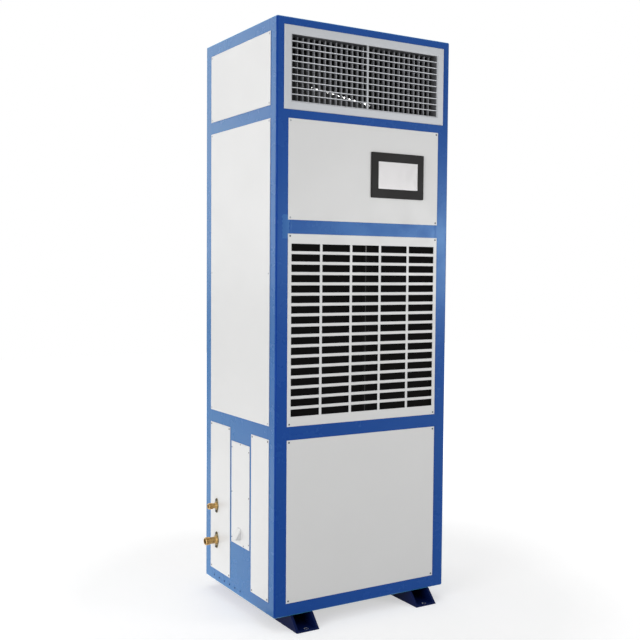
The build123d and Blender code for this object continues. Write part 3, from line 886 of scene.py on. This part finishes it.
def make_duct_plate():
    """A thin dark plate that stands on the duct's floor, with a bright folded strip on its sloping top. Its
    dark finish is the painted shade of the duct.
    """
    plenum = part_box("supply_plenum")[0]
    front_y, floor_z = plenum.y + PLATE_SETBACK, plenum.z + DUCT_SHEET
    plate = bmesh.new()
    corners = [
        (x, y, floor_z + rise)
        for y in (front_y, front_y + PLATE_THICKNESS)
        for x, top in PLATE_ENDS
        for rise in (0.0, top)
    ]
    add_box(plate, corners)
    finish_mesh(plate, "duct_plate", finishes["galvanised_sheet"])
    upper_half = [(LIP_HALF_THICK, LIP_HALF_TALL - LIP_CORNER), (LIP_HALF_THICK - LIP_CORNER, LIP_HALF_TALL)]
    upper_half += [(-y, z) for y, z in reversed(upper_half)]
    section = upper_half + [(-y, -z) for y, z in upper_half]
    lip = bmesh.new()
    rings = []
    for x, top in PLATE_ENDS:
        middle = Matrix.Translation((x, front_y, floor_z + top)) @ Matrix.Rotation(LIP_LEAN, 4, "X")
        rings.append(add_points(lip, middle, [(0.0, y, z) for y, z in section]))
    join_rings(lip, *rings)
    for ring in rings:
        lip.faces.new(ring)
    zinc = plated_steel("duct_lip_zinc", (1.0, 1.0, 1.0), 0.22)
    finish_mesh(lip, "duct_lip", zinc)


seam_filters()
make_duct_plate()


# Camera, floor and light


def add_camera():
    """The photograph's view."""
    camera = bpy.data.objects.new("camera", bpy.data.cameras.new("camera"))
    bpy.context.scene.collection.objects.link(camera)
    camera.data.sensor_width = CAMERA_SENSOR
    camera.data.lens = CAMERA_LENS
    camera.data.clip_start, camera.data.clip_end = CAMERA_CLIP
    forward = Vector(
        (
            math.sin(CAMERA_YAW) * math.cos(CAMERA_PITCH),
            math.cos(CAMERA_YAW) * math.cos(CAMERA_PITCH),
            math.sin(CAMERA_PITCH),
        )
    )
    level = Vector((math.cos(CAMERA_YAW), -math.sin(CAMERA_YAW), 0))
    upright = level.cross(forward)
    right = math.cos(CAMERA_ROLL) * level + math.sin(CAMERA_ROLL) * upright
    up = -math.sin(CAMERA_ROLL) * level + math.cos(CAMERA_ROLL) * upright
    turn = Matrix((right, up, -forward)).transposed().to_4x4()
    camera.matrix_world = Matrix.Translation(CAMERA_PLACE) @ turn
    bpy.context.scene.camera = camera


def seen_directly(tree):
    """1 on rays that show the background: to the camera, in gloss and through glass."""
    path = add_node(tree, "ShaderNodeLightPath").outputs
    shown = calculate(tree, "MAXIMUM", path["Is Camera Ray"], path["Is Glossy Ray"])
    return calculate(tree, "MAXIMUM", shown, path["Is Transmission Ray"])


def add_world():
    """A white background that lights the object at a plain level."""
    world = bpy.data.worlds.new("studio")
    world.use_nodes = True
    bpy.context.scene.world = world
    tree = world.node_tree
    strength = fit(tree, seen_directly(tree), 0.0, 1.0, WORLD_LEVEL, 1.0)
    background = tree.nodes["Background"]
    background.inputs["Color"].default_value = opaque((1.0, 1.0, 1.0))
    tree.links.new(strength, background.inputs["Strength"])


def pale_floor():
    """A pale grey that glows to the camera, and to full white away from the object."""
    material, tree, shader = new_material("floor_white", Roughness=0.9, Specular_IOR_Level=0.0)
    place = place_socket(tree)
    distance = add_node(tree, "ShaderNodeVectorMath", {0: place}, operation="LENGTH").outputs["Value"]
    white = fit(tree, distance, FLOOR_NEAR, FLOOR_FAR, FLOOR_NEAR_GLOW, 1.0)
    glow = calculate(tree, "MULTIPLY", seen_directly(tree), white)
    mottle = fit(tree, noise(tree, place, 30.0, 4.0), 0.3, 0.7, 0.0, 1.0)
    base = blend_colour(tree, mottle, (0.60, 0.60, 0.60), (0.63, 0.63, 0.63))
    shader.inputs["Emission Color"].default_value = opaque((1.0, 1.0, 1.0))
    wire(tree, shader, Base_Color=base, Emission_Strength=glow)
    return material


def add_floor():
    """A white floor that keeps the object's shadow and fades into the background."""
    mesh_data = bmesh.new()
    bmesh.ops.create_grid(mesh_data, x_segments=24, y_segments=24, size=FLOOR_HALF_SIZE)
    mesh = bpy.data.meshes.new("floor")
    mesh_data.to_mesh(mesh)
    mesh_data.free()
    mesh.materials.append(pale_floor())
    floor = bpy.data.objects.new("floor", mesh)
    bpy.context.scene.collection.objects.link(floor)


def add_lamp(name, place, target, size, power, turn):
    """A soft lamp that looks at a target, turned on its own axis."""
    data = bpy.data.lights.new(name, "AREA")
    data.shape = "RECTANGLE"
    data.size, data.size_y = size
    data.energy = power
    lamp = bpy.data.objects.new(name, data)
    bpy.context.scene.collection.objects.link(lamp)
    lamp.location = place
    lamp.rotation_mode = "QUATERNION"
    aim = (Vector(target) - Vector(place)).to_track_quat("-Z", "Y")
    lamp.rotation_quaternion = aim @ Quaternion((0.0, 0.0, 1.0), turn)
    lamp.visible_camera = False


add_camera()
add_world()
add_floor()
for lamp_row in LAMPS:
    add_lamp(*lamp_row)

bpy.context.scene.view_settings.view_transform = "Standard"
